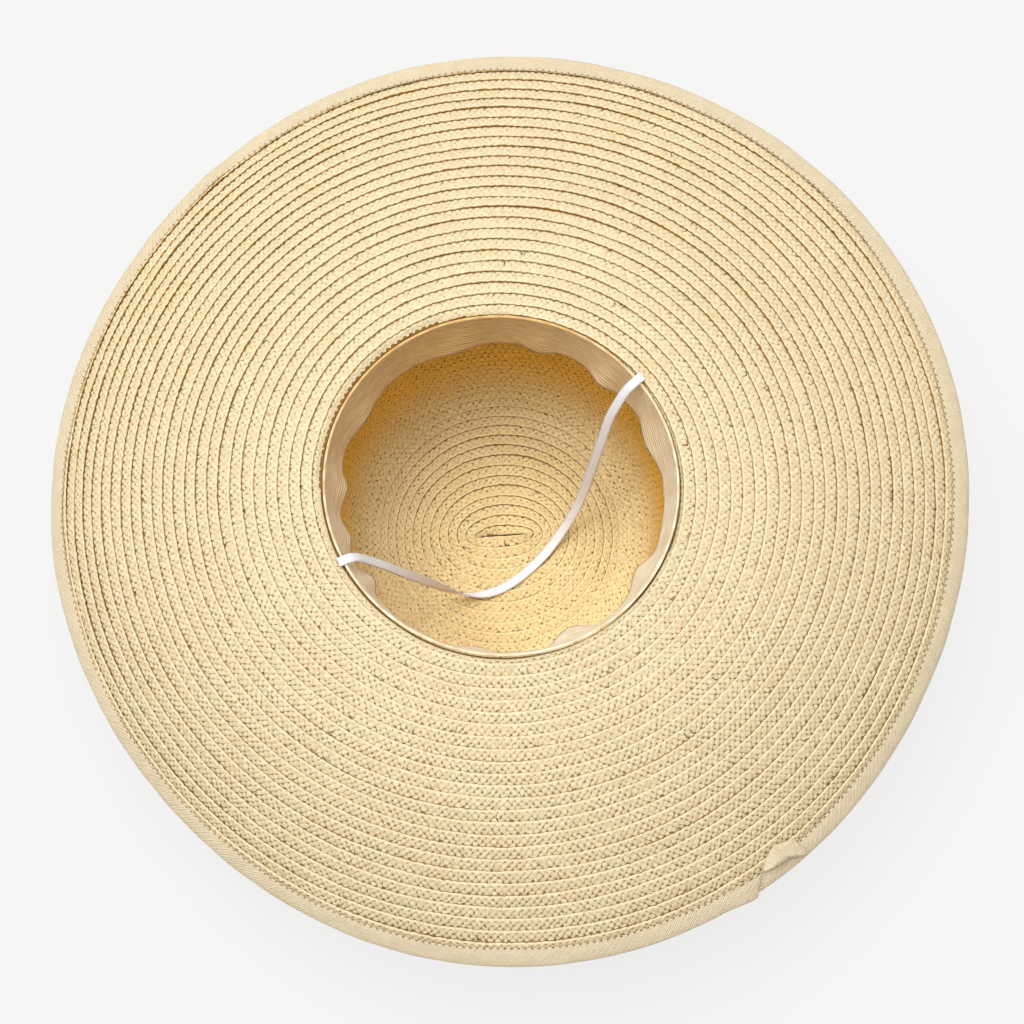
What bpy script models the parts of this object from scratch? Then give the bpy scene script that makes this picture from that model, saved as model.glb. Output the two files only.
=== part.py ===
"""Wide-brimmed hat of sewn straw braid, lying on the flat tip of its crown with the opening up.

Frame: the origin is on the surface that carries the hat, under the middle of the tip. +Z points
out of the opening and -Y towards the viewer. Lengths are in metres, turns in degrees from +X.
"""
import functools
import math

import bmesh
import bpy
from mathutils import Vector

# Head opening, measured inside the straw, and the crown under it
HEAD_LONG = 0.0919        # half of the opening's long way
HEAD_SHORT = 0.0900       # half of its short way
HEAD_TURN = 151.0         # direction of the long way
CROWN_DEPTH = 0.1110      # from the surface under the tip to the brim's upper side at the head line
TIP_FLAT = 0.0580         # radius of the flat tip
TIP_BEND = 0.0260         # outer radius of the bend between tip and side
STRAW = 0.0018            # thickness of two lapped rows of braid

# Brim, measured along the braid from the head line to its raw edge
BRIM_REACH = 0.1563
BRIM_SLOPES = (
    # share of the reach, fall of the brim there in degrees
    (0.00, 4.0),
    (0.25, 4.0),
    (0.50, 14.0),
    (0.75, 20.0),
    (1.00, 33.0),
)
BRIM_WAVES = (
    # lobes, extra fall at the edge in degrees, direction of the first low lobe
    (1, 13.4, 223.0),
    (2, 4.9, -7.0),
    (3, 3.3, -20.0),
    (4, 2.3, -34.0),
)
WAVE_GROWTH = 1.5         # power at which the waves grow from the head line to the edge

# Tape folded over the raw edge, its ends lapped
TAPE = 0.0010
BINDING_WIDTH = 0.0090
LAP_TURN = 306.0          # middle of the lap
LAP_LENGTH = 0.0240       # along the edge
LAP_SLANT = 0.0060        # how much further the tape's upper leg runs at its cut end
LAP_RISE = 0.0200         # stretch over which the upper end climbs onto the lower one

# Ribbed tape inside the crown, sewn at the head line and free below
BAND_WIDTH = 0.0260
BAND_STAND = 0.0030       # how far the free edge stands off the straw
BAND_FOLDS = (
    # turn, half width in degrees, stand and rise of the free edge as shares of BAND_WIDTH
    (20.0, 14.0, 0.16, 0.06),
    (50.0, 9.0, 0.20, 0.12),
    (76.0, 10.0, 0.08, -0.04),
    (108.0, 16.0, 0.12, 0.04),
    (150.0, 12.0, 0.14, 0.06),
    (178.0, 9.0, 0.20, 0.10),
    (196.0, 8.0, 0.10, -0.03),
    (214.0, 7.0, 0.18, 0.08),
    (262.0, 10.0, 0.10, 0.02),
    (296.0, 12.0, 0.24, 0.14),
    (330.0, 10.0, 0.16, 0.05),
)

# Flat elastic for the chin, sewn to the head line at both ends
ELASTIC_WIDTH = 0.0050
ELASTIC_THICK = 0.0012
ELASTIC_ROUTE = (
    # x, y, z, turn of the strap about its own run in degrees
    (0.0728, 0.0570, 0.1121, 0.0),
    (0.0700, 0.0548, 0.1121, 0.0),
    (0.0672, 0.0524, 0.1113, 2.0),
    (0.0642, 0.0500, 0.1080, 4.0),
    (0.0609, 0.0464, 0.1020, 6.0),
    (0.0563, 0.0405, 0.0905, 8.0),
    (0.0519, 0.0312, 0.0720, 10.0),
    (0.0467, 0.0208, 0.0470, 10.0),
    (0.0412, 0.0112, 0.0250, 8.0),
    (0.0328, 0.0004, 0.0090, 4.0),
    (0.0214, -0.0134, 0.0036, 0.0),
    (0.0067, -0.0262, 0.0029, 0.0),
    (-0.0060, -0.0326, 0.0034, -12.0),
    (-0.0180, -0.0346, 0.0070, -60.0),
    (-0.0279, -0.0340, 0.0150, -100.0),
    (-0.0387, -0.0337, 0.0330, -135.0),
    (-0.0496, -0.0346, 0.0560, -160.0),
    (-0.0590, -0.0357, 0.0780, -175.0),
    (-0.0680, -0.0367, 0.0965, -180.0),
    (-0.0727, -0.0378, 0.1068, -180.0),
    (-0.0762, -0.0391, 0.1113, -180.0),
    (-0.0793, -0.0404, 0.1121, -180.0),
    (-0.0824, -0.0418, 0.1121, -180.0),
)

# Working gap between sewn pieces, and how finely the curves are cut
GAP = 0.0003
AROUND = 80
BRIM_STATIONS = 8
BEND_STATIONS = 4
SIDE_STATIONS = 4
BAND_STATIONS = 3
ELASTIC_STATIONS = 60
WELD = 0.00001


def clear_scene():
    for item in list(bpy.data.objects):
        bpy.data.objects.remove(item, do_unlink=True)


def finish_material(name, colour, roughness):
    material = bpy.data.materials.new(name)
    material.use_nodes = True
    shader = material.node_tree.nodes["Principled BSDF"]
    shader.inputs["Base Color"].default_value = (*colour, 1.0)
    shader.inputs["Roughness"].default_value = roughness
    shader.inputs["Metallic"].default_value = 0.0
    return material


def skin(name, sections, closed, material):
    """One closed body over a run of equal section loops, capped where the run is open."""
    runs = len(sections) if closed else len(sections) - 1
    sides = len(sections[0])
    shape = bmesh.new()
    bmesh.ops.create_grid(shape, x_segments=runs, y_segments=sides, size=0.5)
    for vertex in shape.verts:
        along = round((vertex.co.x + 0.5) * runs)
        across = round((vertex.co.y + 0.5) * sides)
        vertex.co = sections[along % len(sections)][across % sides]
    bmesh.ops.remove_doubles(shape, verts=shape.verts, dist=WELD)
    bmesh.ops.dissolve_degenerate(shape, edges=shape.edges, dist=WELD)
    rims = [edge for edge in shape.edges if edge.is_boundary]
    if rims:
        bmesh.ops.holes_fill(shape, edges=rims, sides=0)
    bmesh.ops.recalc_face_normals(shape, faces=shape.faces)
    mesh = bpy.data.meshes.new(name)
    shape.to_mesh(mesh)
    shape.free()
    mesh.shade_smooth()
    mesh.set_sharp_from_angle(angle=math.radians(40))
    mesh.materials.append(material)
    piece = bpy.data.objects.new(name, mesh)
    bpy.context.scene.collection.objects.link(piece)
    return piece


def turned(turn, distance, height):
    angle = math.radians(turn)
    return Vector((distance * math.cos(angle), distance * math.sin(angle), height))


def head_radius(turn):
    """Distance from the hat's axis to the inside of the straw at the head line."""
    angle = math.radians(turn - HEAD_TURN)
    return HEAD_LONG * HEAD_SHORT / math.hypot(HEAD_SHORT * math.cos(angle), HEAD_LONG * math.sin(angle))


def read_table(rows, share):
    for (low, first), (high, second) in zip(rows, rows[1:]):
        if share <= high:
            return first + (second - first) * (share - low) / (high - low)
    return rows[-1][1]


# Crown: a flat tip, one bend and a side that leans out to the head line
@functools.lru_cache(maxsize=None)
def crown_line(turn):
    """Outer side of the crown at one turn: (distance, height, lean in radians) from tip to top."""
    out_to = head_radius(turn) + STRAW - TIP_FLAT
    rise = CROWN_DEPTH - STRAW - GAP - TIP_BEND
    bend = math.atan2(rise, out_to) + math.asin(TIP_BEND / math.hypot(rise, out_to))
    line = []
    for step in range(BEND_STATIONS + 1):
        angle = bend * step / BEND_STATIONS
        distance = TIP_FLAT + TIP_BEND * math.sin(angle)
        line.append((distance, TIP_BEND * (1.0 - math.cos(angle)), angle))
    foot, foot_height, _ = line[-1]
    for step in range(1, SIDE_STATIONS + 1):
        share = step / SIDE_STATIONS
        distance = foot + (TIP_FLAT + out_to - foot) * share
        line.append((distance, foot_height + (TIP_BEND + rise - foot_height) * share, bend))
    return line


def wall_radius(turn, height):
    """Distance from the axis to the inside of the crown's side at one height."""
    foot, foot_height, lean = crown_line(turn)[BEND_STATIONS]
    inside = foot - STRAW / math.sin(lean)
    return inside + (height - foot_height) / math.tan(lean)


def make_crown(material):
    sections = []
    for step in range(AROUND):
        turn = 360.0 * step / AROUND
        line = crown_line(turn)
        outer = [turned(turn, distance, height) for distance, height, _ in line]
        inner = []
        for distance, height, lean in line[:-1]:
            inner.append(turned(turn, distance - STRAW * math.sin(lean), height + STRAW * math.cos(lean)))
        top = line[-1][1]
        inner.append(turned(turn, wall_radius(turn, top), top))
        sections.append([Vector((0, 0, 0))] + outer + inner[::-1] + [Vector((0, 0, STRAW))])
    crown = skin("crown", sections, True, material)
    flatten_tip(crown)
    return crown


def flatten_tip(crown):
    """Turns the tip's two fans and its seam at the axis into two flat faces."""
    shape = bmesh.new()
    shape.from_mesh(crown.data)
    middle = [vertex for vertex in shape.verts if math.hypot(vertex.co.x, vertex.co.y) < WELD]
    bmesh.ops.dissolve_verts(shape, verts=middle)
    bmesh.ops.recalc_face_normals(shape, faces=shape.faces)
    shape.to_mesh(crown.data)
    shape.free()


# Brim: the same length of braid all round, falling more and more towards its edge, with long waves
def brim_fall(turn, share):
    fall = read_table(BRIM_SLOPES, share)
    for lobes, extra, direction in BRIM_WAVES:
        fall += extra * share ** WAVE_GROWTH * math.cos(math.radians(lobes * (turn - direction)))
    return math.radians(fall)


@functools.lru_cache(maxsize=None)
def brim_line(turn):
    """Upper side of the brim at one turn: (distance, height) from the head line to the raw edge."""
    distance, height = head_radius(turn), CROWN_DEPTH
    line = [(distance, height)]
    for step in range(BRIM_STATIONS):
        fall = brim_fall(turn, (step + 0.5) / BRIM_STATIONS)
        distance += BRIM_REACH / BRIM_STATIONS * math.cos(fall)
        height -= BRIM_REACH / BRIM_STATIONS * math.sin(fall)
        line.append((distance, height))
    return line


def brim_place(turn, back, above):
    """A point over the brim's upper side, its distance back from the raw edge along the braid."""
    line = brim_line(turn)
    share = 1.0 - back / BRIM_REACH
    index = min(max(int(share * BRIM_STATIONS), 0), BRIM_STATIONS - 1)
    (near, near_height), (far, far_height) = line[index], line[index + 1]
    fall = math.atan2(near_height - far_height, far - near)
    along = share * BRIM_STATIONS - index
    distance = near + (far - near) * along + above * math.sin(fall)
    height = near_height + (far_height - near_height) * along + above * math.cos(fall)
    return turned(turn, distance, height)


def make_brim(material):
    sections = []
    for step in range(AROUND):
        turn = 360.0 * step / AROUND
        line = brim_line(turn)
        upper = [turned(turn, distance, height) for distance, height in line]
        lower = []
        for station in range(BRIM_STATIONS + 1):
            before = line[max(station - 1, 0)]
            after = line[min(station + 1, BRIM_STATIONS)]
            fall = math.atan2(before[1] - after[1], after[0] - before[0])
            distance, height = line[station]
            lower.append(turned(turn, distance - STRAW * math.sin(fall), height - STRAW * math.cos(fall)))
        lower[0] = turned(turn, line[0][0], line[0][1] - STRAW)
        sections.append(upper + lower[::-1])
    return skin("brim", sections, True, material)


# Binding: one tape folded over the raw edge, its upper end lapped over its lower end
def binding_section(turn, lift, shift):
    """U section of the tape; lift clears the lower end, shift slants the cut of the upper leg."""
    near = GAP + lift
    far = near + TAPE
    leg = BINDING_WIDTH
    outline = (
        # back from the raw edge, height over the brim's upper side
        (leg, near), (leg, far), (-near, far), (-far, far - TAPE), (-far, TAPE - STRAW - far),
        (-near, -STRAW - far), (leg, -STRAW - far), (leg, -STRAW - near), (-near, -STRAW - near),
        (-near, near),
    )
    section = []
    for back, above in outline:
        slant = shift * back / leg if above > 0 else 0.0
        section.append(brim_place(turn + slant, back, above))
    return section


def make_binding(material):
    edge = brim_line(LAP_TURN)[-1][0]
    lap = math.degrees(LAP_LENGTH / edge)
    rise = math.degrees(LAP_RISE / edge)
    slant = math.degrees(LAP_SLANT / edge)
    start = LAP_TURN - lap / 2
    run = 360.0 + lap
    pitch = 360.0 / AROUND
    turns = [start, start + lap / 2, start + lap]
    step = math.floor((start + lap) / pitch) + 1
    while step * pitch < start + 360.0 - rise:
        turns.append(step * pitch)
        step += 1
    turns += [start + 360.0 - rise, start + 360.0 - rise / 2, start + 360.0]
    turns += [start + 360.0 + lap / 2, start + run]
    sections = []
    for turn in turns:
        climb = min(max((turn - (start + 360.0 - rise)) / rise, 0.0), 1.0)
        lift = (TAPE + GAP) * climb * climb * (3.0 - 2.0 * climb)
        shift = slant * max(turn - start - 360.0, 0.0) / lap
        sections.append(binding_section(turn, lift, -shift))
    return skin("edge_binding", sections, False, material)


# Sweatband: its top edge is flush with the brim, its free lower edge stands off in shallow folds
def band_folds(turn):
    stand, rise = BAND_STAND, 0.0
    for middle, half, inward, up in BAND_FOLDS:
        away = abs((turn - middle + 180.0) % 360.0 - 180.0) / half
        if away < 1.0:
            bump = 0.5 + 0.5 * math.cos(math.pi * away)
            stand += inward * BAND_WIDTH * bump
            rise += up * BAND_WIDTH * bump
    return stand, rise


def make_sweatband(material):
    sections = []
    for step in range(AROUND):
        turn = 360.0 * step / AROUND
        stand, rise = band_folds(turn)
        outer, inner = [], []
        for station in range(BAND_STATIONS + 1):
            share = station / BAND_STATIONS
            height = CROWN_DEPTH - (BAND_WIDTH - rise) * share
            straw = min(wall_radius(turn, height), head_radius(turn))
            distance = straw - GAP - stand * share ** 1.5
            outer.append(turned(turn, distance, height))
            inner.append(turned(turn, distance - TAPE, height))
        sections.append(outer + inner[::-1])
    return skin("sweatband", sections, True, material)


# Chin elastic: sewn flat on the head line, it falls to the inside of the tip and turns over once
def smooth_route(points, count):
    """Reads count + 1 stations from a smooth curve through the points, evenly spaced."""
    fine = []
    for index in range(len(points) - 1):
        before = points[max(index - 1, 0)]
        after = points[min(index + 2, len(points) - 1)]
        start, end = points[index], points[index + 1]
        for step in range(16):
            t = step / 16
            fine.append(tuple(
                0.5 * (2 * s + (e - b) * t + (2 * b - 5 * s + 4 * e - a) * t * t
                       + (3 * s - b - 3 * e + a) * t * t * t)
                for b, s, e, a in zip(before, start, end, after)))
    fine.append(points[-1])
    lengths = [0.0]
    for first, second in zip(fine, fine[1:]):
        lengths.append(lengths[-1] + math.dist(first[:3], second[:3]))
    stations = []
    index = 0
    for station in range(count + 1):
        target = lengths[-1] * station / count
        while index < len(fine) - 2 and lengths[index + 1] < target:
            index += 1
        share = (target - lengths[index]) / (lengths[index + 1] - lengths[index])
        stations.append([f + (s - f) * share for f, s in zip(fine[index], fine[index + 1])])
    return stations


def make_elastic(material):
    stations = smooth_route(ELASTIC_ROUTE, ELASTIC_STATIONS)
    places = [Vector(station[:3]) for station in stations]
    half, thick = ELASTIC_WIDTH / 2, ELASTIC_THICK / 2
    outline = ((-half, 0.0), (-half + thick, thick), (half - thick, thick),
               (half, 0.0), (half - thick, -thick), (-half + thick, -thick))
    sections = []
    for index, station in enumerate(stations):
        ahead = places[min(index + 1, len(places) - 1)] - places[max(index - 1, 0)]
        ahead.normalize()
        level = ahead.cross(Vector((0, 0, 1))).normalized()
        over = level.cross(ahead)
        angle = math.radians(station[3])
        wide = level * math.cos(angle) + over * math.sin(angle)
        deep = over * math.cos(angle) - level * math.sin(angle)
        sections.append([places[index] + wide * across + deep * up for across, up in outline])
    return skin("chin_elastic", sections, False, material)


def build():
    clear_scene()
    straw = finish_material("paper_straw", (0.78, 0.60, 0.34), 0.62)
    crown_straw = finish_material("crown_straw", (0.76, 0.56, 0.30), 0.62)
    tape = finish_material("binding_tape", (0.82, 0.62, 0.37), 0.75)
    band = finish_material("ribbed_tape", (0.78, 0.60, 0.40), 0.60)
    white = finish_material("white_elastic", (0.86, 0.84, 0.87), 0.70)
    make_crown(crown_straw)
    make_brim(straw)
    make_binding(tape)
    make_sweatband(band)
    make_elastic(white)


build()
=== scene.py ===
import math

import bmesh
import bpy
import numpy as np
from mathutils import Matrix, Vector


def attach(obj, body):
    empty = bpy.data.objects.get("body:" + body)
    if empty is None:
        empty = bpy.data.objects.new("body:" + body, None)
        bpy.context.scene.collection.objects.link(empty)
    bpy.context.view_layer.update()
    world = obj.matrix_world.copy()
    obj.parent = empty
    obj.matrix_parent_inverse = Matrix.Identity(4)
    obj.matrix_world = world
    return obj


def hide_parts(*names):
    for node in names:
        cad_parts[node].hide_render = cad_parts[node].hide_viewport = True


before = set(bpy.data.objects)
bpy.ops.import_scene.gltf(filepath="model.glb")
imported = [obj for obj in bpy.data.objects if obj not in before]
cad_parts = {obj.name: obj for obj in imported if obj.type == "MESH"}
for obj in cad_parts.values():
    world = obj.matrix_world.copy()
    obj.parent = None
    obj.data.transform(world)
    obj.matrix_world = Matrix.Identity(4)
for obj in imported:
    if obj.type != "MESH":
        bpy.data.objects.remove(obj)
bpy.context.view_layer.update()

# Camera: it stands over the front of the brim and looks down into the opening, a little off the
# straight. It looks at a point between the tip and the opening.
LOOK_AT = Vector((0.0056, -0.0096, 0.0900))
CAMERA_AWAY = 1.50
CAMERA_LEAN = math.radians(14.5)
camera_data = bpy.data.cameras.new("camera")
camera_data.sensor_width = 36.0
camera_data.lens = 102.05
camera = bpy.data.objects.new("camera", camera_data)
camera.location = LOOK_AT + Vector((0, -math.sin(CAMERA_LEAN), math.cos(CAMERA_LEAN))) * CAMERA_AWAY
camera.rotation_euler = (CAMERA_LEAN, 0, 0)
bpy.context.scene.collection.objects.link(camera)
bpy.context.scene.camera = camera


class Signal:
    """A number or a direction on a surface, which sums and products turn into nodes."""

    def __init__(self, tree, socket):
        self.tree = tree
        self.socket = socket

    def math(self, operation, *terms):
        node = self.tree.nodes.new("ShaderNodeMath")
        node.operation = operation
        for slot, term in zip(node.inputs, terms):
            if isinstance(term, Signal):
                self.tree.links.new(term.socket, slot)
            else:
                slot.default_value = term
        return Signal(self.tree, node.outputs[0])

    def __add__(self, other):
        return self.math("ADD", self, other)

    def __radd__(self, other):
        return self.math("ADD", other, self)

    def __sub__(self, other):
        return self.math("SUBTRACT", self, other)

    def __rsub__(self, other):
        return self.math("SUBTRACT", other, self)

    def __mul__(self, other):
        return self.math("MULTIPLY", self, other)

    def __rmul__(self, other):
        return self.math("MULTIPLY", other, self)

    def __truediv__(self, other):
        return self.math("DIVIDE", self, other)

    def fraction(self):
        return self.math("FRACT", self)

    def whole(self):
        return self.math("FLOOR", self)

    def size(self):
        return self.math("ABSOLUTE", self)

    def wave(self):
        return self.math("SINE", self * math.tau)

    def at_least(self, low):
        return self.math("MAXIMUM", self, low)

    def at_most(self, high):
        return self.math("MINIMUM", self, high)


class Finish:
    """A Principled material whose patterns are written as sums on signals."""

    def __init__(self, name, roughness, sheen=0.0):
        self.material = bpy.data.materials.new(name)
        self.material.use_nodes = True
        self.tree = self.material.node_tree
        self.shader = self.tree.nodes["Principled BSDF"]
        self.shader.inputs["Roughness"].default_value = roughness
        self.shader.inputs["Sheen Weight"].default_value = sheen
        self.shader.inputs["Sheen Roughness"].default_value = 0.5
        self.shader.inputs["Specular IOR Level"].default_value = 0.35

    def node(self, kind, settings, inputs, output=0):
        node = self.tree.nodes.new(kind)
        for setting, value in settings.items():
            setattr(node, setting, value)
        for slot, value in inputs.items():
            if isinstance(value, Signal):
                self.tree.links.new(value.socket, node.inputs[slot])
            else:
                node.inputs[slot].default_value = value
        return Signal(self.tree, node.outputs[output])

    def weave(self):
        """How far along and across the piece a point lies, from its own map."""
        place = self.node("ShaderNodeUVMap", {"uv_map": "weave"}, {})
        along = self.node("ShaderNodeSeparateXYZ", {}, {0: place}, 0)
        across = self.node("ShaderNodeSeparateXYZ", {}, {0: place}, 1)
        return along, across

    def chance(self, along, across):
        """A fixed random number for each whole step along and across."""
        spot = self.node("ShaderNodeCombineXYZ", {}, {0: along, 1: across})
        return self.node("ShaderNodeTexWhiteNoise", {"noise_dimensions": "2D"}, {"Vector": spot})

    def cloud(self, scale, detail=2.0):
        """A soft patchy pattern in the object's own space, with about scale patches in a metre."""
        place = self.node("ShaderNodeTexCoord", {}, {}, 3)
        return self.node("ShaderNodeTexNoise", {}, {"Vector": place, "Scale": scale, "Detail": detail})

    def streak(self, along, across):
        """Long fine streaks, drawn out along the piece, for threads and for painted sheen."""
        spot = self.node("ShaderNodeCombineXYZ", {}, {0: along, 1: across})
        sockets = {"Vector": spot, "Scale": 1.0, "Detail": 1.0}
        return self.node("ShaderNodeTexNoise", {"noise_dimensions": "2D"}, sockets)

    def blend(self, share, first, second, way="MIX"):
        """A colour between two colours."""
        sockets = {"Factor": share, 6: first, 7: second}
        return self.node("ShaderNodeMix", {"data_type": "RGBA", "blend_type": way}, sockets, 2)

    def tint(self, share, first, second):
        """A colour that takes on a share of another, as a glaze does."""
        return self.blend(share, first, second, "MULTIPLY")

    def spot(self, axis):
        """Where a point lies along the hat's own x, y or z, numbered from 0."""
        place = self.node("ShaderNodeTexCoord", {}, {}, 3)
        return self.node("ShaderNodeSeparateXYZ", {}, {0: place}, axis)

    def colour(self, signal):
        self.tree.links.new(signal.socket, self.shader.inputs["Base Color"])

    def relief(self, height, depth):
        bump = self.node("ShaderNodeBump", {}, {"Height": height, "Distance": depth, "Strength": 1.0})
        self.tree.links.new(bump.socket, self.shader.inputs["Normal"])


MERGE_WITHIN = 0.000002   # points closer than this are one point
LANE_MARGIN = 0.04        # free border on each side of a lane of the second map


def bent(name, along_steps, across_steps, bend, weave, lanes, closed, finish):
    """A flat grid bent into a piece: bend gives each point its place and weave its map.

    The grid's long way is the run of the piece and its short way goes round the section, so its
    two long sides always meet. A closed run meets itself too, and an open one gets two end caps.
    A second map without overlaps holds the run in so many lanes, or is a function as weave is.
    """
    sheet = bmesh.new()
    bmesh.ops.create_grid(sheet, x_segments=along_steps, y_segments=across_steps, size=0.5)
    mesh = bpy.data.meshes.new(name)
    sheet.to_mesh(mesh)
    sheet.free()
    flat = np.empty(len(mesh.vertices) * 3)
    mesh.vertices.foreach_get("co", flat)
    flat = flat.reshape(-1, 3)
    along = np.round((flat[:, 0] + 0.5) * along_steps).astype(int)
    across = np.round((flat[:, 1] + 0.5) * across_steps).astype(int)
    mesh.vertices.foreach_set("co", bend(along, across).ravel())
    corners = np.empty(len(mesh.loops), dtype=np.int32)
    mesh.loops.foreach_get("vertex_index", corners)
    along, across = along[corners], across[corners]
    weave_map = mesh.uv_layers.new(name="weave")
    weave_map.data.foreach_set("uv", np.column_stack(weave(along, across)).ravel())
    if callable(lanes):
        apart = lanes(along, across)
    else:
        lane_steps = along_steps / lanes
        lane = np.repeat(along.reshape(-1, 4).min(axis=1), 4) // lane_steps
        inset = LANE_MARGIN + (1 - 2 * LANE_MARGIN) * across / across_steps
        apart = along / lane_steps - lane, (lane + inset) / lanes
    bake_map = mesh.uv_layers.new(name="OFBake")
    bake_map.data.foreach_set("uv", np.column_stack(apart).ravel())
    solid = bmesh.new()
    solid.from_mesh(mesh)
    bmesh.ops.remove_doubles(solid, verts=solid.verts, dist=MERGE_WITHIN)
    if not closed:
        bmesh.ops.holes_fill(solid, edges=[edge for edge in solid.edges if edge.is_boundary], sides=0)
    bmesh.ops.recalc_face_normals(solid, faces=solid.faces)
    solid.to_mesh(mesh)
    solid.free()
    mesh.shade_smooth()
    mesh.materials.append(finish.material)
    piece = bpy.data.objects.new(name, mesh)
    bpy.context.scene.collection.objects.link(piece)
    return piece


# Chin elastic: a flat knitted elastic, 5 mm wide, white. Both ends are sewn to the head line; it
# drops to the inside of the tip, lies there for a few centimetres and turns over once on its way.
ELASTIC_WIDTH = 0.0050
ELASTIC_THICK = 0.0010
ELASTIC_STEP = 0.0008
ELASTIC_SIDES = 16
ROUTE_CUTS = 24           # points between two given points while the route is smoothed
ELASTIC_ROUTE = (
    # x, y, z, turn of the strap about its own run in degrees
    (0.0728, 0.0570, 0.1121, 0.0),
    (0.0700, 0.0548, 0.1121, 0.0),
    (0.0672, 0.0524, 0.1113, 2.0),
    (0.0642, 0.0500, 0.1080, 4.0),
    (0.0609, 0.0464, 0.1020, 6.0),
    (0.0563, 0.0405, 0.0905, 8.0),
    (0.0519, 0.0312, 0.0720, 10.0),
    (0.0467, 0.0208, 0.0470, 10.0),
    (0.0412, 0.0112, 0.0250, 8.0),
    (0.0328, 0.0004, 0.0090, 4.0),
    (0.0214, -0.0134, 0.0036, 0.0),
    (0.0067, -0.0262, 0.0029, 0.0),
    (-0.0060, -0.0326, 0.0034, -12.0),
    (-0.0180, -0.0346, 0.0070, -60.0),
    (-0.0279, -0.0340, 0.0150, -100.0),
    (-0.0387, -0.0337, 0.0330, -135.0),
    (-0.0496, -0.0346, 0.0560, -160.0),
    (-0.0590, -0.0357, 0.0780, -175.0),
    (-0.0680, -0.0367, 0.0965, -180.0),
    (-0.0727, -0.0378, 0.1068, -180.0),
    (-0.0762, -0.0391, 0.1113, -180.0),
    (-0.0793, -0.0404, 0.1121, -180.0),
    (-0.0824, -0.0418, 0.1121, -180.0),
)


def smooth_route(points, step):
    """A smooth curve through the points, read every step along it."""
    points = np.array(points)
    fine = []
    for index in range(len(points) - 1):
        before, start = points[max(index - 1, 0)], points[index]
        end, after = points[index + 1], points[min(index + 2, len(points) - 1)]
        for t in np.arange(ROUTE_CUTS) / ROUTE_CUTS:
            fine.append(0.5 * (2 * start + (end - before) * t
                               + (2 * before - 5 * start + 4 * end - after) * t ** 2
                               + (3 * start - before - 3 * end + after) * t ** 3))
    fine = np.array(fine + [points[-1]])
    run = np.concatenate([[0], np.cumsum(np.linalg.norm(np.diff(fine[:, :3], axis=0), axis=1))])
    stops = np.linspace(0, run[-1], round(run[-1] / step) + 1)
    return np.column_stack([np.interp(stops, run, column) for column in fine.T])


def unit(vectors):
    return vectors / np.linalg.norm(vectors, axis=-1, keepdims=True)


elastic_line = smooth_route(ELASTIC_ROUTE, ELASTIC_STEP)
elastic_ahead = unit(np.gradient(elastic_line[:, :3], axis=0))
elastic_level = unit(np.cross(elastic_ahead, (0, 0, 1)))
elastic_over = np.cross(elastic_level, elastic_ahead)
elastic_turn = np.radians(elastic_line[:, 3:])
elastic_wide = elastic_level * np.cos(elastic_turn) + elastic_over * np.sin(elastic_turn)
elastic_deep = elastic_over * np.cos(elastic_turn) - elastic_level * np.sin(elastic_turn)


def elastic_place(along, across):
    """A flat section with rounded corners, carried along the route."""
    turn = across / ELASTIC_SIDES * math.tau
    wide = np.sign(np.cos(turn)) * np.abs(np.cos(turn)) ** 0.45 * ELASTIC_WIDTH / 2
    deep = np.sign(np.sin(turn)) * np.abs(np.sin(turn)) ** 0.6 * ELASTIC_THICK / 2
    off_line = elastic_wide[along] * wide[:, None] + elastic_deep[along] * deep[:, None]
    return elastic_line[along, :3] + off_line


def elastic_weave(along, across):
    return along * ELASTIC_STEP, across / ELASTIC_SIDES


elastic_finish = Finish("white_elastic", 0.75, 0.2)
run, around = elastic_finish.weave()
ribs = (around * 16).wave() * 0.5 + 0.5
knit = (run / 0.0011 + (around * 8).whole() * 0.5).wave() * 0.5 + 0.5
white = elastic_finish.blend(ribs * 0.5 + knit * 0.5, (0.82, 0.80, 0.84, 1), (0.97, 0.95, 0.98, 1))
elastic_finish.colour(white)
elastic_finish.relief(ribs * 0.6 + knit * 0.4, 0.0003)
elastic = bent("chin_elastic_strap", len(elastic_line) - 1, ELASTIC_SIDES, elastic_place, elastic_weave,
               4, False, elastic_finish)
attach(elastic, "root")
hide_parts("chin_elastic")

# Crown: a flat braid of paper straw, sewn on itself in one spiral from a short straight start at
# the middle of the tip. Each row laps over the one inside it, so its inner edge stands proud.
HEAD_LONG = 0.0919
HEAD_SHORT = 0.0900
HEAD_TURN = math.radians(151.0)
CROWN_DEPTH = 0.1110
TIP_FLAT = 0.0580
TIP_BEND = 0.0260
STRAW = 0.0018
HEAD_GAP = 0.0003
CROWN_ROWS = 32.0
START_HALF = 0.0125       # half of the straight start
START_TURN = math.radians(4.0)
START_ROWS = 12.0         # rows after which the start no longer shows
EVEN_ROWS = 7.0           # rows after which the spiral grows evenly all round
TURN_CUTS = 720           # points in each turn of the braid while its run is measured
STITCH = 0.0037           # one stitch of the braid along its run
SAMPLES = 4               # points along each stitch
BRAID_LAP = 0.28          # how far a row laps under the next one, in rows
BRAID_GROOVE = 0.0014     # how deep the first row is drawn down at the start and at the head line
GROOVE_WIDEST = math.radians(120.0)   # turn at which that groove is widest
GROOVE_NARROWS = -0.05    # row from which the groove narrows
GROOVE_TAPER = 0.06       # rows over which it does
BRAID_SECTION = (
    # share of the width, height over the hat's shown side in mm, relief in mm, map
    (0.00, -0.40, 0.00, 0.00),
    (0.06, 0.48, 0.05, 0.06),
    (0.14, 0.28, 0.10, 0.14),
    (0.27, 0.02, 0.24, 0.27),
    (0.51, -0.28, -0.32, 0.51),
    (0.76, -0.72, 0.36, 0.76),
    (1.00, -1.30, -0.08, 1.00),
    (0.92, -1.74, 0.08, 1.08),
    (0.28, -0.95, 0.20, 1.72),
    (0.00, -0.40, 0.00, 2.00),
)
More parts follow.
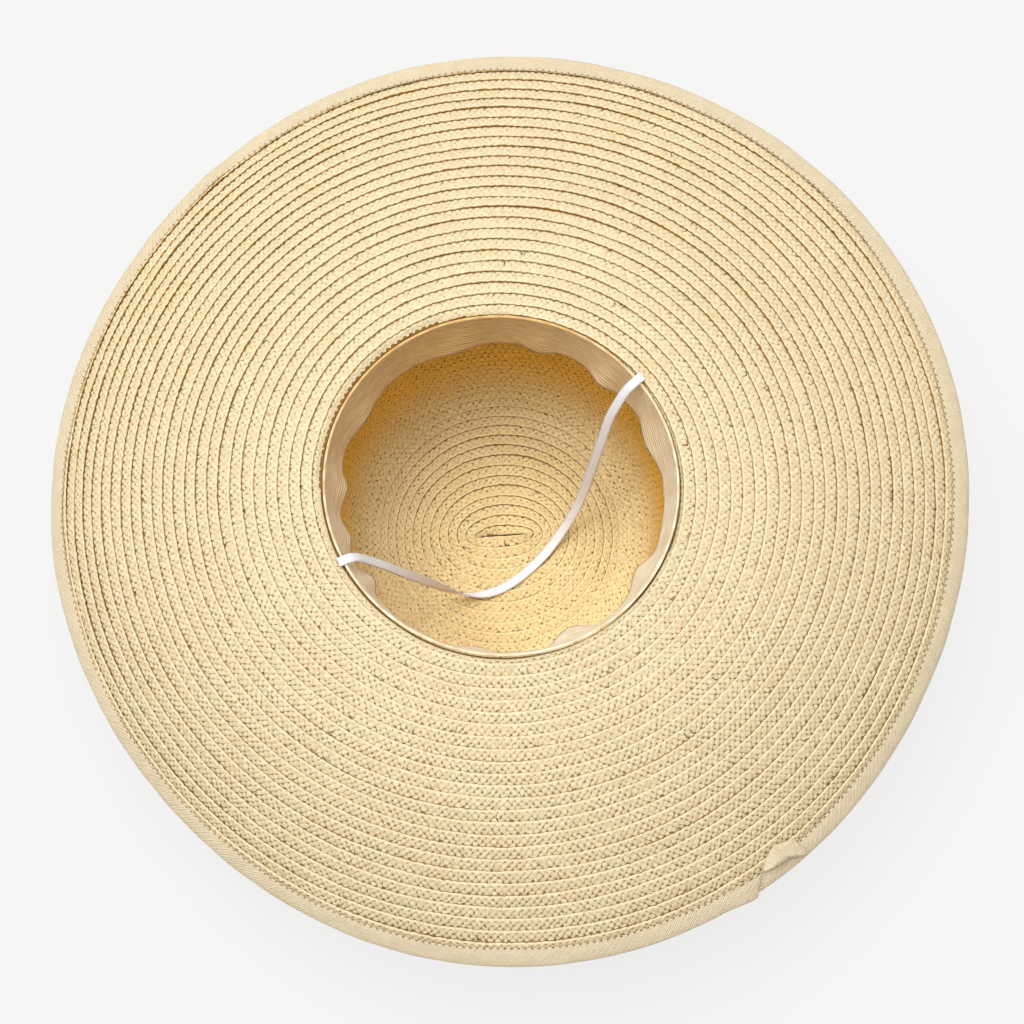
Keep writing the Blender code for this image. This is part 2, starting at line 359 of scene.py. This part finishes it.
section_share, section_up, section_relief, section_map = np.array(BRAID_SECTION).T
section_up, section_relief = section_up / 1000, section_relief / 1000


def head_radius(turn):
    angle = turn - HEAD_TURN
    return HEAD_LONG * HEAD_SHORT / np.hypot(HEAD_SHORT * np.cos(angle), HEAD_LONG * np.sin(angle))


def crown_surface(turn, row):
    """Distance from the axis, height and lean of the crown's shown side at a turn and a row."""
    out_to = head_radius(turn) + STRAW - TIP_FLAT
    rise = CROWN_DEPTH - STRAW - HEAD_GAP - TIP_BEND
    bend = np.arctan2(rise, out_to) + np.arcsin(TIP_BEND / np.hypot(rise, out_to))
    foot, foot_height = TIP_FLAT + TIP_BEND * np.sin(bend), TIP_BEND * (1 - np.cos(bend))
    side = np.hypot(TIP_FLAT + out_to - foot, TIP_BEND + rise - foot_height)
    whole = TIP_FLAT + TIP_BEND * bend + side
    run = row / CROWN_ROWS * whole
    lean = np.clip((run - TIP_FLAT) / TIP_BEND, 0, bend)
    beyond = np.maximum(run - TIP_FLAT - TIP_BEND * bend, 0)
    distance = np.minimum(run, TIP_FLAT) + TIP_BEND * np.sin(lean) + beyond * np.cos(bend)
    height = TIP_BEND * (1 - np.cos(lean)) + beyond * np.sin(bend)
    return distance - STRAW * np.sin(lean), height + STRAW * np.cos(lean), lean


def crown_place(turn, row, above):
    distance, height, lean = crown_surface(turn, row)
    distance = distance - above * np.sin(lean)
    height = height + above * np.cos(lean)
    stretch = START_HALF * np.clip(1 - row / START_ROWS, 0, 1) * np.cos(turn - START_TURN)
    return np.column_stack([distance * np.cos(turn) + stretch * math.cos(START_TURN),
                            distance * np.sin(turn) + stretch * math.sin(START_TURN), height])


def crown_edge(row):
    """The inner edge of the run of braid: near the start it moves out at one end of the start only."""
    whole = np.floor(row)
    part = row - whole
    late = np.clip((part - 0.55) / 0.43, 0, 1)
    late = late * late * (3 - 2 * late)
    even = np.clip(row / EVEN_ROWS, 0, 1)
    return np.clip(whole + part * even + late * (1 - even), 0, CROWN_ROWS) - 0.06 * (row < 0.9)


def smooth_noise(rng, count, knot):
    """Random numbers, one for each step, that change smoothly over knot steps."""
    knots = rng.normal(size=count // knot + 4)
    knots = np.convolve(knots, (0.25, 0.5, 0.25), "same") * 1.6
    return np.interp(np.arange(count) / knot, np.arange(len(knots)), knots)


def braid_turn(row):
    return math.pi / 2 + START_TURN - row * math.tau


def braid_spiral(name, place, edge, rows, all_rows, seed, finish, groove_rows=-9.0):
    """One run of braid laid clockwise along the hat, between two of its rows.

    Up to groove_rows its inner side is drawn down into a groove beside it, and its map there is set
    to the row's edge, so that the groove is also painted with the darkest shade.
    """
    fine = np.linspace(rows[0], rows[1], round((rows[1] - rows[0]) * TURN_CUTS) + 1)
    middle = place(braid_turn(fine), edge(fine) + 0.5, np.zeros(len(fine)))
    run = np.concatenate([[0], np.cumsum(np.linalg.norm(np.diff(middle, axis=0), axis=1))])
    steps = round(run[-1] / STITCH) * SAMPLES
    row = np.interp(np.linspace(0, run[-1], steps + 1), run, fine)
    rng = np.random.default_rng(seed)
    drift = 0.032 * smooth_noise(rng, steps + 1, 22) + 0.014 * smooth_noise(rng, steps + 1, 6)
    swell = 0.00010 * smooth_noise(rng, steps + 1, 16)
    lean = 0.16 * rng.normal(size=steps + 1)
    wave = np.cos(np.arange(steps + 1) * math.tau / SAMPLES) * (0.6 + 0.7 * rng.random(steps + 1))
    scallop = 0.012 * wave + 0.024 * rng.normal(size=steps + 1)

    def grooved(along, across):
        reach = (edge(row[along] + 1) + BRAID_LAP - edge(row[along])) * section_share[across]
        shown = ((section_map[across] < 1) | (section_map[across] == 2)) & (row[along] < groove_rows)
        narrow = 6.8 - 3.0 * np.cos(braid_turn(row[along]) - GROOVE_WIDEST)
        narrow = narrow + 9.0 * np.clip((row[along] - GROOVE_NARROWS) / GROOVE_TAPER, 0, 1)
        return np.where(shown, np.clip(2.0 - reach * narrow, 0, 1), 0)

    def bend(along, across):
        share = 1 - np.abs(section_map[across] - 1)
        there = along + lean[along] * share * SAMPLES
        at = np.interp(np.clip(there, 0, steps), np.arange(steps + 1), row)
        inner = edge(at)
        outer = np.minimum(edge(at + 1) + BRAID_LAP, all_rows)
        loose = drift[along] * (1 - share) + scallop[along] * np.maximum(1 - share * 5, 0)
        spot = inner + (outer - inner) * section_share[across] + loose * np.minimum(outer - inner, 1)
        side = np.where(section_map[across] > 1.05, -1, 1)
        up = section_up[across] + swell[along] + side * section_relief[across] * wave[along]
        up -= BRAID_GROOVE * grooved(along, across)
        return place(braid_turn(at), np.clip(spot, -0.08, all_rows), up)

    def weave(along, across):
        # Where the groove is deep, the map is set to the row's edge, which paints the groove with the
        # darkest shade.
        low = (section_map[across] < 1) & (grooved(along, across) > 0.5)
        return along / SAMPLES, np.where(low, 0, section_map[across])

    def apart(along, across):
        around = section_map[across]
        half = np.where(around < 1, 0.6 * around, 0.2 + 0.4 * around)
        out = 0.15 + 0.85 * (row[along] + half - rows[0]) / (rows[1] + 1 - rows[0])
        turn = braid_turn(row[along])
        return 0.5 + 0.49 * out * np.cos(turn), 0.5 + 0.49 * out * np.sin(turn)

    piece = bent(name, steps, len(BRAID_SECTION) - 1, bend, weave, apart, False, finish)
    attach(piece, "root")
    return piece


def straw_finish(name, pale, body, slit, shade, deep, gape):
    """Paper straw: two sets of flat strands that cross aslant, with slits where they part.

    The slits and the lines along the strands' edges are painted dark with slit, as painted shade in
    real gaps. gape says how wide and dark that painted shade is and how that changes with y and with
    height: more at the front and up the crown's side. shade is painted shade under the proud edge of
    each row, stronger at the back, and where the next row laps over it. The inside of the crown is
    tinted towards deep, more up towards the head line, as painted shade and bounce light.
    """
    finish = Finish(name, 0.6)
    finish.shader.inputs["Specular IOR Level"].default_value = 0.2
    along, across = finish.weave()
    share = 1 - (across - 1).size()
    shift = finish.cloud(300.0, 1.0) * 0.50 - 0.25
    rising = along + share * 2 + shift
    falling = along - share * 2 - shift
    past_rising = 0.5 - (rising.fraction() - 0.5).size()
    past_falling = 0.5 - (falling.fraction() - 0.5).size()
    way = (finish.cloud(60.0) * 4.0 - 1.5).at_least(0.2).at_most(0.8)
    back_way = 1 - way
    first_luck = finish.chance((rising + 0.5).whole(), falling.whole())
    second_luck = finish.chance((falling + 0.5).whole(), rising.whole())
    # Painted shade: dark lines along the edges of the strands, where one dips under the other, and dark
    # slits in the real gaps where they part; stronger at the front and up the crown's side.
    first_line = (1 - past_rising * 8.0).at_least(0) * first_luck * way
    second_line = (1 - past_falling * 8.0).at_least(0) * second_luck * back_way
    first_slit = (1 - past_rising * 5.0).at_least(0) * (1 - past_falling * 2.9).at_least(0) * way
    second_slit = (1 - past_falling * 5.0).at_least(0) * (1 - past_rising * 2.9).at_least(0) * back_way
    luck = 0.4 + 2.6 * finish.chance((rising + 0.5).whole(), (falling + 0.5).whole())
    body_only = ((share - 0.11) * 12.0).at_least(0).at_most(1)
    deeper = 0.40 + 0.60 * ((share - 0.22) * 2.6).at_least(0).at_most(1)
    slit_shade_here = (gape[0] + finish.spot(1) * gape[1] + finish.spot(2) * gape[2]).at_least(0.30).at_most(1.9)
    uneven = 0.45 + 1.1 * finish.cloud(95.0, 1.0)
    parted = (first_line + second_line) * 0.6 + (first_slit + second_slit) * luck
    slits = (parted * body_only * deeper * slit_shade_here * uneven).at_most(1)
    tone = finish.chance(rising.whole(), falling.whole())
    pillow = past_rising.at_most(past_falling) * 2
    crease = ((rising - falling * 0.2) * 9).wave() * 0.5 + 0.5
    patch = finish.cloud(42.0)
    fine = finish.cloud(900.0)
    # lit mixes the straw's own tone, creases and grain with a painted highlight: the middle of each strand,
    # where pillow is high, is painted paler.
    lit = 0.30 * tone + 0.15 * crease + 0.40 * patch + 2.3 * fine + 0.20 * pillow - 1.20
    lit = lit.at_least(0).at_most(1)
    # Painted highlight: the proud edge of each row is painted paler.
    ridge_highlight = (1 - body_only) * 0.35
    straw = finish.blend((lit + ridge_highlight).at_most(1), body, pale)
    # Painted shade under the proud inner edge of each row, in beads of random width and stronger towards
    # the back, and painted shade where the next row laps over it.
    bead = finish.chance((along * 2).whole(), 3.0)
    under = (1.5 - share * (14.0 + bead * 20.0)).at_least(0).at_most(1)
    lapped = ((share - 0.77) * 14.0).at_least(0).at_most(1)
    back_shade = ((finish.spot(1) + 0.13) * 5.0).at_least(0.15).at_most(1)
    shaded = finish.blend((under * back_shade).at_least(lapped * 0.9), straw, shade)
    # Painted shade: the darkest brown at the very foot of each row's proud edge and in the grooves.
    core = (0.85 - share * 40.0).at_least(0)
    shaded = finish.blend(core, shaded, (0.15, 0.075, 0.015, 1))
    # Painted shade and bounce light: the inside of the crown is tinted towards deep, more up towards the
    # head line.
    inside = ((1.04 - across) * 50.0).at_least(0).at_most(1)
    depth = ((finish.spot(2) - 0.003) * 20.0).at_least(0).at_most(1)
    wear_and_painted_shade = finish.tint(inside * depth, finish.blend(slits, shaded, slit), deep)
    finish.colour(wear_and_painted_shade)
    finish.relief(pillow * body_only * 0.5 + crease * 0.12 + fine * 0.5 - slits * 0.8, 0.0006)
    return finish


# The crown's straw has more golden colours and darker slits and shade than the brim's, as painted bounce
# light and shade inside the crown.
crown_finish = straw_finish(
    "crown_straw", pale=(0.99, 0.82, 0.47, 1), body=(0.84, 0.63, 0.29, 1), slit=(0.22, 0.11, 0.025, 1),
    shade=(0.36, 0.19, 0.04, 1), deep=(0.97, 0.70, 0.20, 1), gape=(0.50, 0.0, 15.0))
crown_tip = braid_spiral("crown_tip_braid", crown_place, crown_edge, (-0.25, 19.52), CROWN_ROWS, 11,
                         crown_finish, groove_rows=0.6)
crown_side = braid_spiral("crown_side_braid", crown_place, crown_edge, (19.5, CROWN_ROWS), CROWN_ROWS, 12,
                          crown_finish)
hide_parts("crown")
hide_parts("crown")

# Brim: the same braid carried on outwards from the head line, the same length all round. It falls
# more and more towards its edge and sags in long waves, because paper straw is limp.
BRIM_REACH = 0.1563
BRIM_ROWS = 25.5
BRIM_SLOPES = (
    # share of the reach, fall of the brim there in degrees
    (0.00, 4.0),
    (0.25, 4.0),
    (0.50, 14.0),
    (0.75, 20.0),
    (1.00, 33.0),
)
BRIM_WAVES = (
    # lobes, extra fall at the edge in degrees, direction of the first low lobe
    (1, 13.4, 223.0),
    (2, 4.9, -7.0),
    (3, 3.3, -20.0),
    (4, 2.3, -34.0),
)
WAVE_GROWTH = 1.5
BRIM_CUTS = 160
CUTS_BEYOND = 12          # cuts past the edge, for the binding that stands out over it
BRIM_TURNS = 360
slope_share, slope_fall = np.array(BRIM_SLOPES).T
cut_share = (np.arange(BRIM_CUTS + CUTS_BEYOND) + 0.5) / BRIM_CUTS
grid_turn = np.arange(BRIM_TURNS) / BRIM_TURNS * 360.0
grid_fall = np.tile(np.interp(cut_share, slope_share, slope_fall), (BRIM_TURNS, 1))
for lobes, extra, direction in BRIM_WAVES:
    lobe = extra * np.cos(np.radians(lobes * (grid_turn - direction)))
    grid_fall += lobe[:, None] * cut_share[None, :] ** WAVE_GROWTH
grid_fall = np.radians(grid_fall)
brim_step = BRIM_REACH / BRIM_CUTS
head_line = np.zeros((BRIM_TURNS, 1))
run_out = np.hstack([head_line, np.cumsum(np.cos(grid_fall) * brim_step, axis=1)])
run_down = np.hstack([head_line, np.cumsum(np.sin(grid_fall) * brim_step, axis=1)])


def read_grid(grid, turn, reach):
    """Reads a table of turns and reaches between its points."""
    along = (turn / math.tau % 1) * BRIM_TURNS
    low = np.floor(along).astype(int)
    rest = along - low
    cut = np.clip(reach / brim_step, 0, grid.shape[1] - 1.001)
    near = np.floor(cut).astype(int)
    part = cut - near
    first, second = low % BRIM_TURNS, (low + 1) % BRIM_TURNS
    inner = grid[first, near] * (1 - rest) + grid[second, near] * rest
    outer = grid[first, near + 1] * (1 - rest) + grid[second, near + 1] * rest
    return inner * (1 - part) + outer * part


def brim_place(turn, reach, above):
    distance = head_radius(turn) + read_grid(run_out, turn, reach)
    height = CROWN_DEPTH - read_grid(run_down, turn, reach)
    fall = read_grid(grid_fall, turn, np.maximum(reach - brim_step / 2, 0))
    distance = distance + above * np.sin(fall)
    height = height + above * np.cos(fall)
    return np.column_stack([distance * np.cos(turn), distance * np.sin(turn), height])


def brim_row_place(turn, row, above):
    return brim_place(turn, row * BRIM_REACH / BRIM_ROWS, above)


def brim_edge(row):
    return np.clip(row, 0, BRIM_ROWS)


brim_finish = straw_finish(
    "brim_straw", pale=(0.92, 0.79, 0.53, 1), body=(0.74, 0.58, 0.33, 1), slit=(0.35, 0.21, 0.05, 1),
    shade=(0.50, 0.275, 0.045, 1), deep=(1, 1, 1, 1), gape=(0.62, -2.4, 0.0))
brim_parts = ((-1.0, 11.22, "inner"), (11.2, 19.02, "middle"), (19.0, BRIM_ROWS, "outer"))
for number, (first, last, ring) in enumerate(brim_parts):
    braid = braid_spiral(f"brim_{ring}_braid", brim_row_place, brim_edge, (first, last), BRIM_ROWS,
                         21 + number, brim_finish, groove_rows=0.02)
    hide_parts("brim")

# Edge binding: a twill tape folded over the raw edge and sewn through near its inner border. It
# runs once round; one end lies on the other at the front right, with its corner turned over.
TAPE = 0.0010
BINDING_RADIUS = 0.2430   # mean radius of the raw edge, for the length of the tape
BINDING_START = math.radians(298.6)
BINDING_STOP = math.radians(662.3)
BINDING_SLANT = math.radians(1.9)
BINDING_RISE = 0.020      # length over which the upper end climbs on the lower one
BINDING_STEPS = 1440
BINDING_BORDER = 0.0090   # how far back the sewn border lies
SEAM_BACK = 0.0083        # how far back the seam lies
SEAM_STITCH = 0.0036
SEAM_DENT = 0.00018       # how far each stitch dents the border
SEAM_PULL = 0.00032       # how far each stitch pulls the border in
BINDING_SECTION = (
    # back from the raw edge and height over the brim's shown side, both in mm
    (9.1, 0.35), (9.05, 0.88), (8.8, 0.95), (8.3, 0.60), (7.7, 0.98), (5.0, 1.12), (2.5, 1.15), (0.0, 1.00),
    (-0.9, 0.45), (-1.35, -0.8), (-0.9, -2.05), (0.0, -2.60), (2.5, -2.70), (5.0, -2.62), (7.6, -2.30),
    (9.0, -2.35), (9.1, -1.90), (4.0, -1.85), (0.2, -1.7), (0.2, 0.2), (5.0, 0.35), (9.1, 0.35),
)
binding_back, binding_above = np.array(BINDING_SECTION).T / 1000
binding_round = np.concatenate([[0], np.cumsum(np.hypot(np.diff(binding_back), np.diff(binding_above)))])
binding_rng = np.random.default_rng(31)
binding_pucker = 0.00022 * smooth_noise(binding_rng, BINDING_STEPS + 1, 6)
binding_border = 0.00030 * smooth_noise(binding_rng, BINDING_STEPS + 1, 9)
binding_run = np.linspace(0, (BINDING_STOP - BINDING_START) * BINDING_RADIUS, BINDING_STEPS + 1)
binding_climb = np.clip(1 - (binding_run[-1] - binding_run) / BINDING_RISE, 0, 1)
binding_climb = binding_climb * binding_climb * (3 - 2 * binding_climb)


def binding_place(along, across):
    back, above = binding_back[across], binding_above[across]
    turn = BINDING_START + binding_run[along] / BINDING_RADIUS
    turn = turn + BINDING_SLANT * binding_climb[along] * back / binding_back[0]
    shown = np.where(above > -0.0006, 1.0, -1.0)
    gathered = np.cos(binding_run[along] / SEAM_STITCH * math.tau) * np.clip((back - 0.0078) * 900, 0, 1)
    lift = binding_climb[along] * (TAPE + HEAD_GAP)
    above = above + shown * (lift + binding_pucker[along] * 0.8 + SEAM_DENT * gathered)
    back = back + binding_border[along] * (back / BINDING_BORDER) - np.where(back < 0.0005, lift, 0)
    back = back + SEAM_PULL * gathered
    return brim_place(turn, BRIM_REACH - back, above)


def binding_weave(along, across):
    return binding_run[along], binding_round[across]


binding_finish = Finish("binding_tape", 0.85)
run, around = binding_finish.weave()
slope = (run + around) / 0.0013
twill = slope.wave() * 0.5 + 0.5
yarn = (run / 0.00055).wave() * (around / 0.00055).wave() * 0.5 + 0.5
mottle = binding_finish.cloud(150.0)
wear_and_painted_shade = binding_finish.cloud(900.0, 1.0)
# Painted shade: the needle holes of the seam are painted dark.
hole_run = (1 - ((run / SEAM_STITCH + 0.5).fraction() - 0.5).size() * 3.4).at_least(0)
hole_across = (1 - (around - 0.00115).size() * 1300.0).at_least(0)
holes = (hole_run * hole_across * 2.2).at_most(1)
tape = (twill * 0.50 + yarn * 0.15 + mottle * 0.50 + wear_and_painted_shade * 0.8 - 0.45).at_least(0).at_most(1)
woven = binding_finish.blend(tape, (0.70, 0.55, 0.33, 1), (0.96, 0.83, 0.59, 1))
binding_finish.colour(binding_finish.blend(holes, woven, (0.30, 0.16, 0.04, 1)))
binding_finish.relief(twill * 0.7 + yarn * 0.25 + wear_and_painted_shade * 0.6 + mottle * 1.2 - holes, 0.0005)
binding = bent("edge_binding_tape", BINDING_STEPS, len(BINDING_SECTION) - 1, binding_place, binding_weave,
               12, False, binding_finish)
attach(binding, "root")
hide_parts("edge_binding")

# Seam of the binding: one thread that dips through the tape at every stitch.
SEAM_THREAD = 0.00026
SEAM_SIDES = 5
SEAM_STEPS = 6            # points along each stitch
seam_stitches = int(binding_run[-1] / SEAM_STITCH) - 4


def seam_place(along, across):
    run = (along / SEAM_STEPS + 2.0) * SEAM_STITCH
    ride = np.cos((along / SEAM_STEPS + 0.5) * math.tau)
    angle = across / SEAM_SIDES * math.tau
    back = SEAM_BACK + np.interp(run, binding_run, binding_border) * 0.92 + SEAM_THREAD * np.cos(angle)
    above = 0.00070 + 0.00030 * ride + np.interp(run, binding_run, binding_pucker) * 0.8
    above = above + np.interp(run, binding_run, binding_climb) * (TAPE + HEAD_GAP)
    above = above + SEAM_THREAD * np.sin(angle)
    return brim_place(BINDING_START + run / BINDING_RADIUS, BRIM_REACH - back, above)


def seam_weave(along, across):
    return along / SEAM_STEPS, across / SEAM_SIDES


seam_finish = Finish("seam_thread", 0.6)
run, around = seam_finish.weave()
ply = (run * 9 + around).wave() * 0.5 + 0.5
seam_finish.colour(seam_finish.blend(ply, (0.74, 0.60, 0.40, 1), (0.90, 0.79, 0.60, 1)))
seam = bent("binding_seam", seam_stitches * SEAM_STEPS, SEAM_SIDES, seam_place, seam_weave,
            12, False, seam_finish)
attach(seam, "root")

# Turned corner of the binding: the end of the tape folded over itself, a little off the brim.
CORNER_OUTLINE = (
    # turn in degrees, back from the raw edge and height over the brim's shown side in mm
    (309.8, 12.2, 1.5), (308.6, 14.3, 1.9), (307.3, 16.3, 2.0), (306.5, 15.5, 1.7), (305.5, 13.0, 1.4),
    (304.5, 10.2, 1.9), (304.2, 8.6, 3.0), (306.0, 7.6, 4.2), (307.4, 7.2, 4.6), (308.0, 6.7, 4.2),
    (309.0, 3.8, 3.7), (310.1, 0.8, 2.9), (310.3, 4.4, 2.7), (310.0, 8.2, 2.5),
)
CORNER_THICK = 0.0009
corner_turn, corner_back, corner_up = np.array(CORNER_OUTLINE).T
corner_spots = brim_place(np.radians(corner_turn), BRIM_REACH - corner_back / 1000, corner_up / 1000)
corner_shape = bmesh.new()
corner_shape.faces.new([corner_shape.verts.new(spot) for spot in corner_spots])
bmesh.ops.triangulate(corner_shape, faces=corner_shape.faces)
bmesh.ops.subdivide_edges(corner_shape, edges=corner_shape.edges, cuts=3, use_grid_fill=True)
bmesh.ops.smooth_vert(corner_shape, verts=[vert for vert in corner_shape.verts if not vert.is_boundary],
                      factor=0.5, use_axis_x=True, use_axis_y=True, use_axis_z=True)
bmesh.ops.recalc_face_normals(corner_shape, faces=corner_shape.faces)
bmesh.ops.solidify(corner_shape, geom=corner_shape.faces, thickness=CORNER_THICK)
bmesh.ops.recalc_face_normals(corner_shape, faces=corner_shape.faces)
corner_mesh = bpy.data.meshes.new("binding_corner")
corner_shape.to_mesh(corner_mesh)
corner_shape.free()
corner_mesh.shade_smooth()
corner_flat = np.empty(len(corner_mesh.vertices) * 3)
corner_mesh.vertices.foreach_get("co", corner_flat)
corner_ends = np.empty(len(corner_mesh.loops), dtype=np.int32)
corner_mesh.loops.foreach_get("vertex_index", corner_ends)
corner_map = corner_mesh.uv_layers.new(name="weave")
corner_map.data.foreach_set("uv", corner_flat.reshape(-1, 3)[corner_ends][:, :2].ravel())
corner_mesh.materials.append(binding_finish.material)
corner = bpy.data.objects.new("binding_corner", corner_mesh)
bpy.context.scene.collection.objects.link(corner)
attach(corner, "root")

# Sweatband: a ribbed tape inside the head line, its top edge turned over and sewn to the brim. Its
# lower edge is free and stands off the straw in shallow folds.
BAND_WIDTH = 0.0260
BAND_STAND = 0.0030
BAND_STEPS = 720
BAND_ROWS = 14
BAND_RADIUS = 0.089       # mean radius of the band, for the length of its map
BAND_FOLDS = (
    # turn, half width in degrees, stand and rise of the free edge as shares of BAND_WIDTH
    (20.0, 14.0, 0.16, 0.06),
    (50.0, 9.0, 0.20, 0.12),
    (76.0, 10.0, 0.08, -0.04),
    (108.0, 16.0, 0.12, 0.04),
    (150.0, 12.0, 0.14, 0.06),
    (178.0, 9.0, 0.20, 0.10),
    (196.0, 8.0, 0.10, -0.03),
    (214.0, 7.0, 0.18, 0.08),
    (262.0, 10.0, 0.10, 0.02),
    (296.0, 12.0, 0.24, 0.14),
    (330.0, 10.0, 0.16, 0.05),
)
band_turn = np.arange(BAND_STEPS) / BAND_STEPS * 360.0
band_stand = np.full(BAND_STEPS, BAND_STAND)
band_rise = np.zeros(BAND_STEPS)
for middle, half, inward, up in BAND_FOLDS:
    away = np.abs((band_turn - middle + 180) % 360 - 180) / half
    bump = np.where(away < 1, 0.5 + 0.5 * np.cos(math.pi * np.minimum(away, 1)), 0)
    band_stand += inward * BAND_WIDTH * bump
    band_rise += up * BAND_WIDTH * bump
band_rng = np.random.default_rng(41)
dying_out = np.minimum(1, np.arange(BAND_STEPS)[::-1] / 20)   # over the last steps of the round
band_stand += 0.00055 * np.abs(smooth_noise(band_rng, BAND_STEPS, 10)) * dying_out
band_rise += 0.00035 * smooth_noise(band_rng, BAND_STEPS, 12) * dying_out
band_ring = np.radians(band_turn)
band_foot_lean = crown_surface(band_ring, np.full(BAND_STEPS, CROWN_ROWS))[2]
band_share = np.concatenate([np.linspace(0, 1, BAND_ROWS + 1), np.linspace(1, 0, BAND_ROWS + 1), [0]])
band_inside = np.concatenate([np.zeros(BAND_ROWS + 1), np.ones(BAND_ROWS + 1), [0]])


def band_place(along, across):
    step = along % BAND_STEPS
    share = band_share[across]
    turn = band_ring[step]
    height = CROWN_DEPTH + 0.0006 - (BAND_WIDTH - band_rise[step]) * share
    leaned = (CROWN_DEPTH - height) / np.tan(band_foot_lean[step])
    wall = np.minimum(head_radius(turn), head_radius(turn) - leaned)
    distance = wall - HEAD_GAP - band_stand[step] * share ** 1.5
    distance -= TAPE * band_inside[across] * (1 + 0.35 * np.exp(-(share / 0.06) ** 2))
    return np.column_stack([distance * np.cos(turn), distance * np.sin(turn), height])


def band_weave(along, across):
    return along / BAND_STEPS * math.tau * BAND_RADIUS, band_share[across] * BAND_WIDTH


band_finish = Finish("sweatband_tape", 0.5, 0.25)
run, around = band_finish.weave()
ribs = ((around + run * 0.16) / 0.0019).wave() * 0.5 + 0.5
picks = (run / 0.0009).wave() * 0.5 + 0.5
cloth = band_finish.cloud(90.0)
# Fine pale streaks along the band: its threads, and a painted satin sheen.
thread_and_sheen = band_finish.streak(run * 90.0, (around + run * 0.16) * 900.0)
band_tone = (ribs * 0.45 + picks * 0.1 + cloth * 0.8 + thread_and_sheen * 1.6 - 1.10).at_least(0).at_most(1)
tape = band_finish.blend(band_tone, (0.76, 0.58, 0.34, 1), (1.0, 0.93, 0.71, 1))
# Painted shade and bounce light: the band is tinted a deeper gold towards the back and the left.
band_shade = (0.30 + band_finish.spot(1) * 8.0 - band_finish.spot(0) * 2.5).at_least(0).at_most(1)
band_finish.colour(band_finish.tint(band_shade, tape, (0.86, 0.63, 0.33, 1)))
band_finish.relief(ribs * 0.8 + picks * 0.2 + thread_and_sheen * 1.2, 0.0005)
band = bent("sweatband_tape", BAND_STEPS, len(band_share) - 1, band_place, band_weave, 6, True, band_finish)
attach(band, "root")
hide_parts("sweatband")

# Floor and light: a pale lit floor, one large soft lamp at the back left, a narrow soft lamp that
# shines into the crown, and an even pale sky.
LAMP_WAY = Vector((-0.21, 0.27, 0.94))
CROWN_LAMP_WAY = Vector((-0.16, 0.20, 0.966))
CROWN_LAMP_AIM = Vector((0.0, -0.006, 0.11))
CROWN_LAMP_AWAY = 1.15
floor_sheet = bmesh.new()
bmesh.ops.create_grid(floor_sheet, x_segments=1, y_segments=1, size=6.0)
floor_mesh = bpy.data.meshes.new("floor")
floor_sheet.to_mesh(floor_mesh)
floor_sheet.free()
floor_finish = Finish("floor_paper", 0.9)
floor_finish.shader.inputs["Specular IOR Level"].default_value = 0.0
floor_finish.shader.inputs["Base Color"].default_value = (0.10, 0.10, 0.10, 1)
floor_finish.shader.inputs["Emission Color"].default_value = (1.0, 1.0, 1.0, 1)
floor_finish.shader.inputs["Emission Strength"].default_value = 0.79
floor_mesh.materials.append(floor_finish.material)
floor = bpy.data.objects.new("floor", floor_mesh)
floor.location = (0, 0, -0.0004)
bpy.context.scene.collection.objects.link(floor)

sun_data = bpy.data.lights.new("soft_lamp", "SUN")
sun_data.energy = 2.8
sun_data.angle = math.radians(60)
sun = bpy.data.objects.new("soft_lamp", sun_data)
sun.rotation_euler = LAMP_WAY.to_track_quat("Z", "Y").to_euler()
bpy.context.scene.collection.objects.link(sun)
crown_lamp_data = bpy.data.lights.new("crown_lamp", "SPOT")
crown_lamp_data.energy = 17.5
crown_lamp_data.shadow_soft_size = 0.12
crown_lamp_data.spot_size = math.radians(7.7)
crown_lamp_data.spot_blend = 0.35
crown_lamp = bpy.data.objects.new("crown_lamp", crown_lamp_data)
crown_lamp.location = CROWN_LAMP_AIM + CROWN_LAMP_AWAY * CROWN_LAMP_WAY
crown_lamp.rotation_euler = CROWN_LAMP_WAY.to_track_quat("Z", "Y").to_euler()
bpy.context.scene.collection.objects.link(crown_lamp)
world = bpy.data.worlds.new("studio")
world.use_nodes = True
world.node_tree.nodes["Background"].inputs["Color"].default_value = (1.0, 1.0, 1.0, 1)
world.node_tree.nodes["Background"].inputs["Strength"].default_value = 0.52
bpy.context.scene.world = world
bpy.context.scene.view_settings.view_transform = "Standard"
